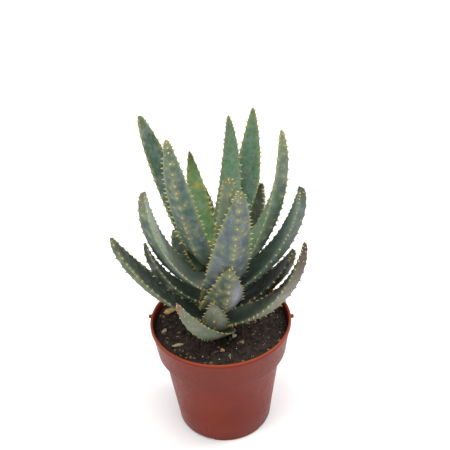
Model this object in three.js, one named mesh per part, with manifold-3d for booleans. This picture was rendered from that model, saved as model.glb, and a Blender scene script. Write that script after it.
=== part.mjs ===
// Spiny potted aloe in a plastic nursery pot.
// Millimetres, +Z up, origin at the centre of the pot's underside, -Y is the front.

import * as THREE from 'three';
import { mergeVertices } from 'three/addons/utils/BufferGeometryUtils.js';
import Module from 'manifold-3d';

const wasm = await Module();
wasm.setup();

// Pot, outer sizes
const potHeight = 92;
const rimRadius = 52.5;
const collarHeight = 25.5;
const collarFootRadius = 48.1;
const stepRadius = 44.1;
const footRadius = 34.9;
const wall = 1.3;
const lipWidth = 1.9;
const lipBevel = { width: 0.5, height: 1.2 };
const padRadius = 22;
const padSlope = 0.6;
const grooveHeight = 2;
const footWidth = 2.6;
const footSlope = 0.4;
const notches = { count: 3, turn: 60, firstAzimuth: 285, height: 1.8 };
const drainHoles = { count: 4, radius: 3, sides: 6, firstAzimuth: 15 };
const lugs = { azimuths: [1, 171], out: 2, sunk: 1, across: 2.6, height: 2.4, drop: 0.6 };
const overcut = 1;
const potSides = 24;
const potTurn = 4;
const soilSides = 48;

// Soil and stem
const gap = 0.3;
const soilLevel = 85.5;
const soilLump = 0.9;
const soilMound = { rise: 1.5, spread: 24.5 };
const soilRings = [42, 33, 23, 12];
const stemFoot = new THREE.Vector3(2.1, 0, 58);
const stemTop = new THREE.Vector3(-6.3, 0, 162);
const stemRadius = { foot: 6.5, top: 5 };
const budHeight = 6;
const stemSides = 16;

// Spines, at true size; starts and end are shares of the leaf's length
const spine = { length: 2.4, radius: 0.8, sunk: 1, lean: 0.3, tipSize: 0.8,
  marginSpacing: 11, marginStart: 0.14, keelSpacing: 14, keelStart: 0.3, end: 0.97 };

// A leaf's section, in shares of its half width: the hollow above, the keel below,
// how both change along the leaf, and how the base fills out against the stem
const section = { hollow: 0.26, hollowFade: 0.16, hollowFill: 0.45, keel: 0.46, keelGain: 0.35,
  keelFill: 0.1, claspLength: 0.07, keelPower: 1.35, edge: 0.9 };
const leafRings = 10;
const ringCrowding = 1.25;
const pathSteps = 40;

const leafGreen = 0x6f8c7c;
const youngGreen = 0x7f9c6c;
const oldOlive = 0x8b8d7c;
const dryPurple = 0x7d7468;

// One row for each leaf, from the soil up.
// height: where it leaves the stem; azimuth: where it points, 0 is +X and 270 the front;
// rise and tipRise: its slope at the base and tip; sweep: how far it turns sideways on the way;
// twist: how far its tip rolls about its own length; bend and blunt: exponents of curve and outline.
const leaves = [
  { name: 'leaf_01_front_left_low', height: 88, azimuth: 256, rise: 21, tipRise: 65, sweep: -37,
    length: 81, width: 27.5, twist: 2, bend: 0.6, blunt: 0.67, colour: oldOlive },
  { name: 'leaf_02_front_low', height: 89, azimuth: 259, rise: 45, tipRise: 80, sweep: 8,
    length: 43, width: 20, twist: -2, bend: 1, blunt: 0.66, colour: oldOlive },
  { name: 'leaf_03_right_low', height: 97, azimuth: 331, rise: 11, tipRise: 80, sweep: 15,
    length: 105, width: 26, twist: 0, bend: 0.66, blunt: 0.6, colour: dryPurple },
  { name: 'leaf_04_left_low', height: 98, azimuth: 190, rise: 29, tipRise: 64, sweep: -9,
    length: 103, width: 30, twist: 3, bend: 0.76, blunt: 0.62, colour: leafGreen },
  { name: 'leaf_05_back_low', height: 97, azimuth: 78, rise: 20, tipRise: 55, sweep: 0,
    length: 70, width: 26, twist: 0, bend: 0.8, blunt: 0.6, colour: leafGreen },
  { name: 'leaf_06_front_middle', height: 107, azimuth: 285, rise: 49, tipRise: 75, sweep: 5,
    length: 64, width: 30, twist: -17, bend: 1, blunt: 0.74, colour: leafGreen },
  { name: 'leaf_07_back_left_low', height: 104, azimuth: 128, rise: 25, tipRise: 60, sweep: 0,
    length: 62, width: 25, twist: 0, bend: 0.8, blunt: 0.6, colour: leafGreen },
  { name: 'leaf_08_right_dark', height: 110, azimuth: 352, rise: 18, tipRise: 68, sweep: -2,
    length: 72, width: 27, twist: 0, bend: 0.97, blunt: 0.6, colour: leafGreen },
  { name: 'leaf_09_left_dark', height: 115, azimuth: 201, rise: 20, tipRise: 76, sweep: -6,
    length: 76, width: 23, twist: -2, bend: 0.66, blunt: 0.68, colour: leafGreen },
  { name: 'leaf_10_front_large', height: 117, azimuth: 296, rise: 63, tipRise: 77, sweep: 3,
    length: 119, width: 30, twist: -36, bend: 0.92, blunt: 0.68, colour: leafGreen },
  { name: 'leaf_11_back_middle', height: 118, azimuth: 98, rise: 35, tipRise: 68, sweep: 0,
    length: 78, width: 25, twist: 0, bend: 0.9, blunt: 0.6, colour: leafGreen },
  { name: 'leaf_12_back_right_dark', height: 122, azimuth: 28, rise: 42, tipRise: 86, sweep: 1,
    length: 84, width: 21, twist: 0, bend: 1, blunt: 0.6, colour: leafGreen },
  { name: 'leaf_13_right_curved', height: 124, azimuth: 346, rise: 26, tipRise: 82, sweep: 7,
    length: 108, width: 29, twist: 6, bend: 0.81, blunt: 0.47, colour: leafGreen },
  { name: 'leaf_14_back_left_middle', height: 127, azimuth: 118, rise: 50, tipRise: 72, sweep: 0,
    length: 60, width: 21, twist: 0, bend: 1, blunt: 0.6, colour: leafGreen },
  { name: 'leaf_15_left_curved', height: 129, azimuth: 198, rise: 31, tipRise: 86, sweep: -8,
    length: 95, width: 31, twist: -9, bend: 0.61, blunt: 0.52, colour: leafGreen },
  { name: 'leaf_16_back_right_tall', height: 131, azimuth: 51, rise: 41, tipRise: 82, sweep: 17,
    length: 124, width: 25, twist: 22, bend: 0.95, blunt: 0.72, colour: leafGreen },
  { name: 'leaf_17_right_tall', height: 131, azimuth: 357, rise: 38, tipRise: 89, sweep: -15,
    length: 132.5, width: 32.7, twist: 2, bend: 0.6, blunt: 0.66, colour: leafGreen },
  { name: 'leaf_18_front_upright', height: 138, azimuth: 304, rise: 64, tipRise: 88, sweep: -11,
    length: 94, width: 18, twist: -4, bend: 0.95, blunt: 0.49, colour: leafGreen },
  { name: 'leaf_19_back_left_tall', height: 141, azimuth: 151, rise: 66, tipRise: 69, sweep: -4,
    length: 118, width: 25, twist: -10, bend: 1, blunt: 0.58, colour: leafGreen },
  { name: 'leaf_20_back_tall', height: 139, azimuth: 62, rise: 41, tipRise: 101, sweep: 4,
    length: 114, width: 19.5, twist: 18, bend: 0.85, blunt: 0.75, colour: leafGreen },
  { name: 'leaf_21_left_tall', height: 148, azimuth: 231, rise: 67, tipRise: 82, sweep: 6,
    length: 119, width: 20, twist: 42, bend: 1.1, blunt: 0.63, colour: leafGreen },
  { name: 'leaf_22_young', height: 149, azimuth: 113, rise: 73, tipRise: 77, sweep: 4,
    length: 76, width: 20, twist: 2, bend: 1, blunt: 0.77, colour: youngGreen },
  { name: 'leaf_23_heart', height: 155, azimuth: 330, rise: 76, tipRise: 86, sweep: 0,
    length: 32, width: 11, twist: 0, bend: 1, blunt: 0.75, colour: youngGreen },
  { name: 'leaf_24_heart', height: 157, azimuth: 200, rise: 80, tipRise: 88, sweep: 0,
    length: 24, width: 9, twist: 0, bend: 1, blunt: 0.75, colour: youngGreen },
];

// The ten points round a leaf's section: how far across, and on which face.
const sectionPoints = [
  { across: 1, face: 'upper' },
  { across: 0.5, face: 'upper' },
  { across: 0, face: 'upper' },
  { across: -0.5, face: 'upper' },
  { across: -1, face: 'upper' },
  { across: -1, face: 'lower' },
  { across: -0.55, face: 'lower' },
  { across: 0, face: 'lower' },
  { across: 0.55, face: 'lower' },
  { across: 1, face: 'lower' },
];
const upperMiddle = sectionPoints[2];
const keelPoint = sectionPoints[7];

// Larger pieces that lie on the soil: bark, grit and perlite.
const chips = [
  { name: 'bark_chip_large', x: -39, y: 17.5, size: [8.5, 6.5, 2.6], turn: 25, colour: 0x8f7152 },
  { name: 'bark_chip_long', x: -32, y: -21, size: [9, 3, 1.6], turn: 12, colour: 0x8a8468 },
  { name: 'bark_chip_small', x: -42, y: -4, size: [5.5, 3.6, 1.8], turn: 60, colour: 0xa08c78 },
  { name: 'grit_stone', x: 0.5, y: -30, size: [3, 3.4, 2.4], turn: 0, colour: 0xc19a76 },
  { name: 'perlite_crumb', x: 9.5, y: -15, size: [4, 3, 2], turn: 30, colour: 0xd8d6cf },
];
const chipRoughness = 0.3;
const chipLift = 0.35;

function radians(degrees) {
  return THREE.MathUtils.degToRad(degrees);
}

// A small seeded random source, so that every build is the same.
function seededRandom(seed) {
  let state = seed;
  return () => {
    state = (state * 1664525 + 1013904223) % 4294967296;
    return state / 4294967296;
  };
}

// A closed geometry as a solid that can be joined and cut.
function toSolid(geometry) {
  const bare = geometry.clone();
  bare.deleteAttribute('normal');
  bare.deleteAttribute('uv');
  const merged = mergeVertices(bare, 1e-4);
  const index = merged.index.array;
  const kept = [];
  for (let i = 0; i < index.length; i += 3) {
    const [a, b, c] = [index[i], index[i + 1], index[i + 2]];
    if (a !== b && b !== c && c !== a) {
      kept.push(a, b, c);
    }
  }
  const vertProperties = new Float32Array(merged.attributes.position.array);
  return new wasm.Manifold(new wasm.Mesh({ numProp: 3, vertProperties, triVerts: new Uint32Array(kept) }));
}

function toGeometry(solid) {
  const mesh = solid.getMesh();
  const geometry = new THREE.BufferGeometry();
  geometry.setAttribute('position', new THREE.BufferAttribute(new Float32Array(mesh.vertProperties), 3));
  geometry.setIndex(new THREE.BufferAttribute(new Uint32Array(mesh.triVerts), 1));
  return geometry;
}

// The largest body of a solid: loose scraps left by a cut are dropped.
function largestBody(solid) {
  const bodies = solid.decompose();
  return bodies.reduce((best, body) => (body.volume() > best.volume() ? body : best));
}

// A point at a radius and azimuth, at a height.
function polar(radius, azimuth, height) {
  return new THREE.Vector3(radius * Math.cos(radians(azimuth)), radius * Math.sin(radians(azimuth)), height);
}

// A profile of [radius, height] turned about +Z.
function turned(profile, sides) {
  const points = profile.map(([radius, height]) => new THREE.Vector2(radius, height));
  return new THREE.LatheGeometry(points, sides).rotateX(Math.PI / 2);
}

// Pot

function potSolid() {
  const stepHeight = potHeight - collarHeight;
  const plateTop = grooveHeight + wall + gap;
  const profile = [
    [0, 0],
    [padRadius, 0],
    [padRadius + padSlope, grooveHeight],
    [footRadius - footWidth, grooveHeight],
    [footRadius - footWidth + footSlope, 0],
    [footRadius, 0],
    [stepRadius, stepHeight],
    [collarFootRadius, stepHeight],
    [rimRadius, potHeight - lipBevel.height],
    [rimRadius - lipBevel.width, potHeight],
    [rimRadius - lipWidth, potHeight],
    [collarFootRadius - wall, stepHeight + wall],
    [stepRadius - wall, stepHeight - wall],
    [footRadius - wall, plateTop],
    [padRadius - wall + padSlope, plateTop],
    [padRadius - wall, wall + gap],
    [0, wall + gap],
  ];
  let pot = toSolid(turned(profile, potSides).rotateZ(radians(potTurn)));

  // Arched gaps under the foot ring, which let the groove drain
  for (let i = 0; i < notches.count; i += 1) {
    const middle = notches.firstAzimuth + (i * 360) / notches.count;
    const start = radians(middle - notches.turn / 2);
    const end = radians(middle + notches.turn / 2);
    const shape = new THREE.Shape();
    shape.absarc(0, 0, footRadius + 2 * overcut, start, end, false);
    shape.absarc(0, 0, footRadius - footWidth - overcut / 2, end, start, true);
    const notch = new THREE.ExtrudeGeometry(shape, {
      depth: notches.height + overcut, bevelEnabled: false, curveSegments: 4 });
    pot = pot.subtract(toSolid(notch.translate(0, 0, -overcut)));
  }

  // Drain holes through the floor of the groove
  const holeRing = (padRadius + footRadius - footWidth) / 2;
  for (let i = 0; i < drainHoles.count; i += 1) {
    const depth = wall + 4 * overcut;
    const hole = new THREE.CylinderGeometry(drainHoles.radius, drainHoles.radius, depth, drainHoles.sides)
      .rotateX(Math.PI / 2);
    const azimuth = drainHoles.firstAzimuth + (i * 360) / drainHoles.count;
    const place = polar(holeRing, azimuth, grooveHeight + wall / 2);
    pot = pot.subtract(toSolid(hole.translate(place.x, place.y, place.z)));
  }

  // Two small lugs on the rim
  for (const azimuth of lugs.azimuths) {
    const lug = new THREE.BoxGeometry(lugs.out + lugs.sunk, lugs.across, lugs.height);
    const reach = rimRadius + (lugs.out - lugs.sunk) / 2;
    const place = polar(reach, azimuth, potHeight - lugs.drop - lugs.height / 2);
    pot = pot.add(toSolid(lug.rotateZ(radians(azimuth)).translate(place.x, place.y, place.z)));
  }
  return pot;
}

// Soil

// The height of the lumpy top at a place: a low mound with smooth lumps of two sizes.
function soilHeight(x, y) {
  const mound = soilMound.rise * Math.exp(-(x * x + y * y) / soilMound.spread ** 2);
  const coarse = Math.sin(0.21 * x + 1.3) * Math.cos(0.17 * y - 0.6);
  const fine = Math.sin(0.53 * x - 0.4 * y) * Math.cos(0.47 * y + 0.3 * x + 2);
  return soilLevel + mound + soilLump * (0.6 * coarse + 0.4 * fine);
}

function soilSolid(raise) {
  const stepHeight = potHeight - collarHeight;
  const plateTop = grooveHeight + wall + 2 * gap;
  const clear = wall + 2 * gap;
  const soilEdge = collarFootRadius - clear
    + ((rimRadius - collarFootRadius) * (soilLevel - stepHeight)) / collarHeight;
  const profile = [
    [0, wall + 2 * gap],
    [padRadius - clear, wall + 2 * gap],
    [padRadius - clear + padSlope, plateTop],
    [footRadius - clear, plateTop],
    [stepRadius - clear, stepHeight - wall],
    [collarFootRadius - clear, stepHeight + wall],
    [soilEdge - soilLump, soilLevel],
    ...soilRings.map((radius) => [radius, soilLevel]),
    [0, soilLevel],
  ];
  const geometry = turned(profile, soilSides);
  const position = geometry.attributes.position;
  for (let i = 0; i < position.count; i += 1) {
    if (Math.abs(position.getZ(i) - soilLevel) < 0.01) {
      position.setZ(i, soilHeight(position.getX(i), position.getY(i)) + raise);
    }
  }
  return toSolid(geometry);
}

// Stem

function stemPoint(height) {
  const along = (height - stemFoot.z) / (stemTop.z - stemFoot.z);
  return stemFoot.clone().lerp(stemTop, along);
}

// A slim post with a short pointed bud at its top, leaning from its foot to its top.
function stemSolid(grow) {
  const length = stemTop.distanceTo(stemFoot);
  const geometry = turned([
    [0, -grow],
    [stemRadius.foot + grow, -grow],
    [stemRadius.top + grow, length - budHeight],
    [0, length + 2 * grow],
  ], stemSides);
  const lean = new THREE.Quaternion().setFromUnitVectors(
    new THREE.Vector3(0, 0, 1), stemTop.clone().sub(stemFoot).normalize());
  return toSolid(geometry.applyQuaternion(lean).translate(stemFoot.x, stemFoot.y, stemFoot.z));
}

// Leaves

// The leaf's centre line as points and frames, found by walking along it in short steps.
function leafPath(leaf) {
  const out = polar(0.8 * stemRadius.foot, leaf.azimuth, 0);
  const place = stemPoint(leaf.height).add(out);
  const path = [];
  let last = null;
  for (let i = 0; i <= pathSteps; i += 1) {
    const s = i / pathSteps;
    const rise = radians(leaf.rise + (leaf.tipRise - leaf.rise) * s ** leaf.bend);
    const heading = radians(leaf.azimuth + leaf.sweep * s);
    const along = new THREE.Vector3(
      Math.cos(rise) * Math.cos(heading), Math.cos(rise) * Math.sin(heading), Math.sin(rise));
    const across = new THREE.Vector3(-Math.sin(heading), Math.cos(heading), 0);
    const upper = new THREE.Vector3().crossVectors(along, across);
    const roll = radians(leaf.twist) * s ** 0.7;
    across.applyAxisAngle(along, roll);
    upper.applyAxisAngle(along, roll);
    if (last) {
      place.addScaledVector(last.clone().add(along), leaf.length / pathSteps / 2);
    }
    path.push({ place: place.clone(), along, across, upper });
    last = along;
  }
  return path;
}

function pathAt(path, s) {
  const at = THREE.MathUtils.clamp(s, 0, 1) * (path.length - 1);
  const i = Math.min(Math.floor(at), path.length - 2);
  const mix = (key) => path[i][key].clone().lerp(path[i + 1][key], at - i);
  return { place: mix('place'), along: mix('along'), across: mix('across'), upper: mix('upper') };
}

function halfWidth(leaf, s) {
  const outline = Math.sin((Math.PI / 2) * (1 - s) ** leaf.blunt);
  return (leaf.width / 2) * outline * (0.9 + 0.1 * Math.min(s / 0.12, 1));
}

// A point of the section at s: hollow on the upper face, keeled below, with blunt margins.
// At the base the hollow fills up, so that the leaf sits against the stem.
function sectionPoint(leaf, path, s, point, grow) {
  const frame = pathAt(path, s);
  const half = halfWidth(leaf, s);
  const clasp = Math.exp(-s / section.claspLength);
  const hollow = (section.hollow - section.hollowFade * s - section.hollowFill * clasp) * half;
  const keel = (section.keel + section.keelGain * s - section.keelFill * clasp) * half;
  const side = Math.abs(point.across);
  const edge = Math.min(section.edge, 0.4 * half) / 2 + grow;
  const depth = point.face === 'upper'
    ? edge - hollow * (1 - side ** 2)
    : -edge - keel * (1 - side ** section.keelPower);
  const reach = point.across * half + grow * Math.sign(point.across);
  return frame.place.addScaledVector(frame.across, reach).addScaledVector(frame.upper, depth);
}

// A cone whose rings are moved onto the leaf's sections.
function leafBody(leaf, path, grow) {
  const geometry = new THREE.ConeGeometry(1, 1, sectionPoints.length, leafRings);
  const position = geometry.attributes.position;
  for (let i = 0; i < position.count; i += 1) {
    const height = position.getY(i) + 0.5;
    const s = 1 - (1 - height) ** ringCrowding;
    const radius = Math.hypot(position.getX(i), position.getZ(i));
    let place;
    if (height > 0.999) {
      place = pathAt(path, 1).place.addScaledVector(pathAt(path, 1).along, 2 * grow);
    } else if (radius < 1e-6) {
      const keel = sectionPoint(leaf, path, s, keelPoint, 0);
      place = sectionPoint(leaf, path, s, upperMiddle, 0).lerp(keel, 0.5);
    } else {
      const turn = Math.atan2(position.getX(i), position.getZ(i)) / (2 * Math.PI);
      const around = Math.round((turn + 1) * sectionPoints.length) % sectionPoints.length;
      place = sectionPoint(leaf, path, s, sectionPoints[around], grow);
    }
    if (height < 0.001) {
      place.addScaledVector(path[0].along, -2 * grow);
    }
    position.setXYZ(i, place.x, place.y, place.z);
  }
  return toSolid(geometry);
}

// A three-sided spine with its root sunk in the leaf, leaning a little towards the tip.
function spineSolid(root, out, along, size, grow) {
  const direction = out.clone().normalize().addScaledVector(along, spine.lean).normalize();
  const length = size * spine.length + spine.sunk + grow;
  const geometry = new THREE.ConeGeometry(size * spine.radius + grow, length, 3);
  const turn = new THREE.Quaternion().setFromUnitVectors(new THREE.Vector3(0, 1, 0), direction);
  const middle = root.clone().addScaledVector(direction, length / 2 - spine.sunk);
  return toSolid(geometry.applyQuaternion(turn).translate(middle.x, middle.y, middle.z));
}

// The spines of one leaf: one at its tip, a row along each margin and one along the keel.
function leafSpines(leaf, path, seed) {
  const random = seededRandom(seed);
  const rows = [
    { point: { across: 1 }, spacing: spine.marginSpacing, from: spine.marginStart, side: 1 },
    { point: { across: -1 }, spacing: spine.marginSpacing, from: spine.marginStart, side: -1 },
    { point: keelPoint, spacing: spine.keelSpacing, from: spine.keelStart, side: 0 },
  ];
  const tip = pathAt(path, 0.985);
  const spines = [{ root: tip.place, out: tip.along, along: tip.along, size: spine.tipSize }];
  for (const row of rows) {
    const span = spine.end - row.from;
    const count = Math.round((leaf.length * span) / row.spacing) + 1;
    for (let i = 0; i < count; i += 1) {
      const s = row.from + (span * (i + 0.3 * (random() - 0.5))) / Math.max(count - 1, 1);
      const at = Math.min(s, spine.end);
      const root = sectionPoint(leaf, path, at, row.point, 0);
      const frame = pathAt(path, at);
      const out = row.side === 0 ? frame.upper.negate() : frame.across.multiplyScalar(row.side);
      const size = (0.7 + 0.3 * random()) * (1 - 0.35 * at) * Math.min(1, leaf.width / 18 + 0.2);
      spines.push({ root, out, along: frame.along, size });
    }
  }
  return spines;
}

// All leaves, from the youngest down. Each outer leaf is cut clear of the stem, of the soil
// and of the younger leaves that it wraps; then it gets the spines that touch nothing else.
function leafSolids(stemClear, soilClear) {
  const made = [];
  for (const leaf of [...leaves].reverse()) {
    const path = leafPath(leaf);
    let body = leafBody(leaf, path, 0).subtract(stemClear);
    for (const younger of made) {
      body = body.subtract(younger.clear);
    }
    body = largestBody(body.subtract(soilClear));
    made.push({ leaf, path, body, clear: leafBody(leaf, path, gap) });
  }
  const others = (one) => made.filter((item) => item !== one);
  made.forEach((item, order) => {
    item.spines = [];
    for (const { root, out, along, size } of leafSpines(item.leaf, item.path, order + 11)) {
      const room = spineSolid(root, out, along, size, gap);
      const rooted = spineSolid(root, out, along, size, 0).intersect(item.body).volume() > 0.15 * size;
      const blocked = others(item).some((other) => (
        room.intersect(other.body).volume() > 0
        || (other.spines || []).some((taken) => room.intersect(taken).volume() > 0)));
      const buried = room.intersect(soilClear).volume() > 0 || room.intersect(stemClear).volume() > 0;
      if (rooted && !blocked && !buried) {
        item.spines.push(spineSolid(root, out, along, size, 0));
      }
    }
    item.solid = largestBody(wasm.Manifold.union([item.body, ...item.spines]));
  });
  return made;
}

// Chips

// A rough lump: a low icosahedron whose corners are pushed in and out by a seeded draw.
function chipSolid(chip, seed) {
  const random = seededRandom(seed);
  const ball = new THREE.IcosahedronGeometry(0.5, 1);
  const geometry = mergeVertices(ball.deleteAttribute('normal').deleteAttribute('uv'));
  const position = geometry.attributes.position;
  for (let i = 0; i < position.count; i += 1) {
    const push = 1 + chipRoughness * (random() - 0.5);
    position.setXYZ(i, position.getX(i) * push, position.getY(i) * push, position.getZ(i) * push);
  }
  const [x, y, z] = chip.size;
  geometry.scale(x, y, z).rotateZ(radians(chip.turn));
  const rest = soilHeight(chip.x, chip.y) + z * chipLift;
  return toSolid(geometry.translate(chip.x, chip.y, rest));
}

function makeMesh(name, solid, colour, roughness) {
  const material = new THREE.MeshStandardMaterial({ color: colour, roughness, metalness: 0 });
  const mesh = new THREE.Mesh(toGeometry(solid), material);
  mesh.name = name;
  return mesh;
}

const plant = new THREE.Group();
const stemClear = stemSolid(gap);
const soilClear = soilSolid(gap);
plant.add(makeMesh('pot', potSolid(), 0x93493b, 0.45));
plant.add(makeMesh('soil', soilSolid(0).subtract(stemClear), 0x2a211d, 0.95));
plant.add(makeMesh('stem', stemSolid(0), 0x8a8f6a, 0.7));
for (const { leaf, solid } of leafSolids(stemClear, soilClear).reverse()) {
  plant.add(makeMesh(leaf.name, solid, leaf.colour, 0.6));
}
chips.forEach((chip, order) => {
  plant.add(makeMesh(chip.name, chipSolid(chip, order + 5).subtract(soilClear), chip.colour, 0.9));
});

export default plant;
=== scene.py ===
import math
import random

import bmesh
import bpy
import numpy as np
from mathutils import Matrix, Vector, noise


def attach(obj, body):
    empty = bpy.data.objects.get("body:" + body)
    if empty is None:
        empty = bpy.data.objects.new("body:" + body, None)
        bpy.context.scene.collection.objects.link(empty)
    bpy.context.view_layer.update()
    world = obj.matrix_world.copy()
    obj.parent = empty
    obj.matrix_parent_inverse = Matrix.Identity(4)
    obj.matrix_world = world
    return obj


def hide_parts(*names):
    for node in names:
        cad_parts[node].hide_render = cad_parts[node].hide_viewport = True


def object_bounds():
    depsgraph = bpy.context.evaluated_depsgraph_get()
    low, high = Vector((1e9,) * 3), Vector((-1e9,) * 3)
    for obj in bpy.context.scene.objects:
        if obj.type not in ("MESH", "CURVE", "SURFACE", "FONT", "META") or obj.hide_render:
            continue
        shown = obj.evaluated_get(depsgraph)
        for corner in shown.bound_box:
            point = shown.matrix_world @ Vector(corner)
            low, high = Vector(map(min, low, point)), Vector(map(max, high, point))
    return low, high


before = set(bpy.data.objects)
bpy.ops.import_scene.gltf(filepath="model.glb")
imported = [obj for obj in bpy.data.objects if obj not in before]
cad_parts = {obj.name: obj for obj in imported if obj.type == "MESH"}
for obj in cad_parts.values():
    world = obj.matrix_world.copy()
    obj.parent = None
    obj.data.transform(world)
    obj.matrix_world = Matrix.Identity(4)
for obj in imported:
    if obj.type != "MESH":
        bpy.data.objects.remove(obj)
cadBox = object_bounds()
print("stage: frame loaded")


# Small tools for modelling

def deselectAll():
    for piece in bpy.context.selected_objects:
        piece.select_set(False)


def pickPiece(piece):
    deselectAll()
    piece.select_set(True)
    bpy.context.view_layer.objects.active = piece


def nameNew(name):
    piece = bpy.context.object
    piece.name = name
    piece.data.name = name
    return piece


def placeInMesh(piece):
    pickPiece(piece)
    bpy.ops.object.transform_apply(location=True, rotation=True, scale=True)


def applyAll(piece):
    pickPiece(piece)
    for modifier in list(piece.modifiers):
        bpy.ops.object.modifier_apply(modifier=modifier.name)


def smoothPiece(piece, angle=180):
    pickPiece(piece)
    bpy.ops.object.shade_smooth_by_angle(angle=math.radians(angle))


def ownCopy(piece, name):
    twin = piece.copy()
    twin.data = piece.data.copy()
    twin.name = name
    bpy.context.scene.collection.objects.link(twin)
    return twin


def dropPiece(piece):
    mesh = piece.data
    bpy.data.objects.remove(piece)
    bpy.data.meshes.remove(mesh)


def joinPieces(pieces):  # all into the first one
    deselectAll()
    for piece in pieces:
        piece.select_set(True)
    bpy.context.view_layer.objects.active = pieces[0]
    bpy.ops.object.join()
    return pieces[0]


def dress(piece, slot, *nodes):
    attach(piece, "root")
    if nodes:
        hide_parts(*nodes)


def readPoints(piece):
    points = np.zeros(len(piece.data.vertices) * 3)
    piece.data.vertices.foreach_get("co", points)
    return points.reshape(-1, 3)


def writePoints(piece, points):
    piece.data.vertices.foreach_set("co", np.asarray(points, dtype=np.float32).ravel())
    piece.data.update()


def readNormals(piece):
    normals = np.zeros(len(piece.data.vertices) * 3)
    piece.data.vertex_normals.foreach_get("vector", normals)
    return normals.reshape(-1, 3)


def writeMask(piece, name, values):
    mask = piece.data.attributes.get(name) or piece.data.attributes.new(name, "FLOAT", "POINT")
    mask.data.foreach_set("value", np.asarray(values, dtype=np.float32))


def softStep(value, low, high):
    part = np.clip((value - low) / (high - low), 0, 1)
    return part * part * (3 - 2 * part)


# Small tools for materials

def tint(code):  # a colour written as six hex digits, made linear
    parts = [int(code[i:i + 2], 16) / 255 for i in (0, 2, 4)]
    return tuple(p / 12.92 if p < 0.04045 else ((p + 0.055) / 1.055) ** 2.4 for p in parts) + (1,)


def feed(tree, socket, value):
    if isinstance(value, bpy.types.NodeSocket):
        tree.links.new(value, socket)
    else:
        socket.default_value = value


def put(tree, kind, inputs=None, **settings):
    node = tree.nodes.new(kind)
    for key, value in settings.items():
        setattr(node, key, value)
    for key, value in (inputs or {}).items():
        feed(tree, node.inputs[key], value)
    return node


def mixTint(tree, amount, first, second, blend="MIX"):
    node = put(tree, "ShaderNodeMix", data_type="RGBA", blend_type=blend)
    for index, value in ((0, amount), (6, first), (7, second)):
        feed(tree, node.inputs[index], value)
    return node.outputs[2]


def mathOf(tree, operation, first, second=0.0, clamp=False):
    node = put(tree, "ShaderNodeMath", operation=operation, use_clamp=clamp)
    feed(tree, node.inputs[0], first)
    feed(tree, node.inputs[1], second)
    return node.outputs[0]


def rangeOf(tree, value, low, high, outLow=0.0, outHigh=1.0):
    return put(tree, "ShaderNodeMapRange", {"Value": value, "From Min": low, "From Max": high,
                                            "To Min": outLow, "To Max": outHigh},
               interpolation_type="SMOOTHSTEP").outputs["Result"]


def grainOf(tree, place, scale, detail=3.0, rough=0.55, warp=0.0):
    return put(tree, "ShaderNodeTexNoise", {"Vector": place, "Scale": scale, "Detail": detail,
                                            "Roughness": rough, "Distortion": warp}).outputs["Fac"]


def maskOf(tree, name, output="Fac"):
    return put(tree, "ShaderNodeAttribute", attribute_name=name).outputs[output]


def placeOf(tree):
    return put(tree, "ShaderNodeTexCoord").outputs["Object"]


def newGroup(name, inputs, outputs):
    tree = bpy.data.node_groups.new(name, "ShaderNodeTree")
    for label, kind, value in inputs:
        tree.interface.new_socket(name=label, in_out="INPUT", socket_type=kind).default_value = value
    for label, kind in outputs:
        tree.interface.new_socket(name=label, in_out="OUTPUT", socket_type=kind)
    return tree, tree.nodes.new("NodeGroupInput").outputs, tree.nodes.new("NodeGroupOutput").inputs


def newFinish(name, roughness=0.5, specular=0.5):
    material = bpy.data.materials.new(name)
    material.use_nodes = True
    shader = material.node_tree.nodes["Principled BSDF"]
    shader.inputs["Roughness"].default_value = roughness
    shader.inputs["Specular IOR Level"].default_value = specular
    return material, material.node_tree, shader.inputs


def bumpOf(tree, height, distance, strength=1.0):
    return put(tree, "ShaderNodeBump", {"Height": height, "Distance": distance,
                                        "Strength": strength}).outputs["Normal"]


# Camera and light, set as in the photograph

cameraSet = {"target": (0.0065, 0, 0.1753), "distance": 0.7, "elevation": 34.4, "roll": -2.69,
             "lens": 80.76, "sensor": 36, "nearest": 0.01}
lightSet = {
    "world": 0.78, "aim": (0, 0, 0.12),
    "lamps": [
        {"name": "rightLamp", "at": (0.9, 0.15, 1.35), "size": 0.7, "power": 13.0},
        {"name": "leftLamp", "at": (-0.8, -0.45, 1.3), "size": 0.7, "power": 7.5},
        {"name": "topLamp", "at": (-0.1, -0.25, 1.7), "size": 0.6, "power": 9.0},
    ],
}


def makeCamera(values):
    target = Vector(values["target"])
    tilt = math.radians(values["elevation"])
    place = target + values["distance"] * Vector((0, -math.cos(tilt), math.sin(tilt)))
    turn = (target - place).to_track_quat("-Z", "Y").to_matrix().to_4x4()
    deselectAll()
    bpy.ops.object.camera_add()
    camera = nameNew("photoCamera")
    camera.matrix_world = Matrix.Translation(place) @ turn @ Matrix.Rotation(math.radians(values["roll"]), 4, "Z")
    camera.data.lens = values["lens"]
    camera.data.sensor_width = values["sensor"]
    camera.data.clip_start = values["nearest"]
    bpy.context.scene.camera = camera


def makeLights(values):
    world = bpy.data.worlds.new("paleRoom")
    world.use_nodes = True
    back = world.node_tree.nodes["Background"]
    back.inputs["Color"].default_value = (1, 1, 1, 1)
    back.inputs["Strength"].default_value = values["world"]
    bpy.context.scene.world = world
    bpy.context.scene.view_settings.view_transform = "Standard"
    for lamp in values["lamps"]:
        bpy.ops.object.light_add(type="AREA", location=lamp["at"])
        light = nameNew(lamp["name"])
        light.data.energy = lamp["power"]
        light.data.size = lamp["size"]
        aim = Vector(values["aim"]) - Vector(lamp["at"])
        light.rotation_euler = aim.to_track_quat("-Z", "Y").to_euler()


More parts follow.
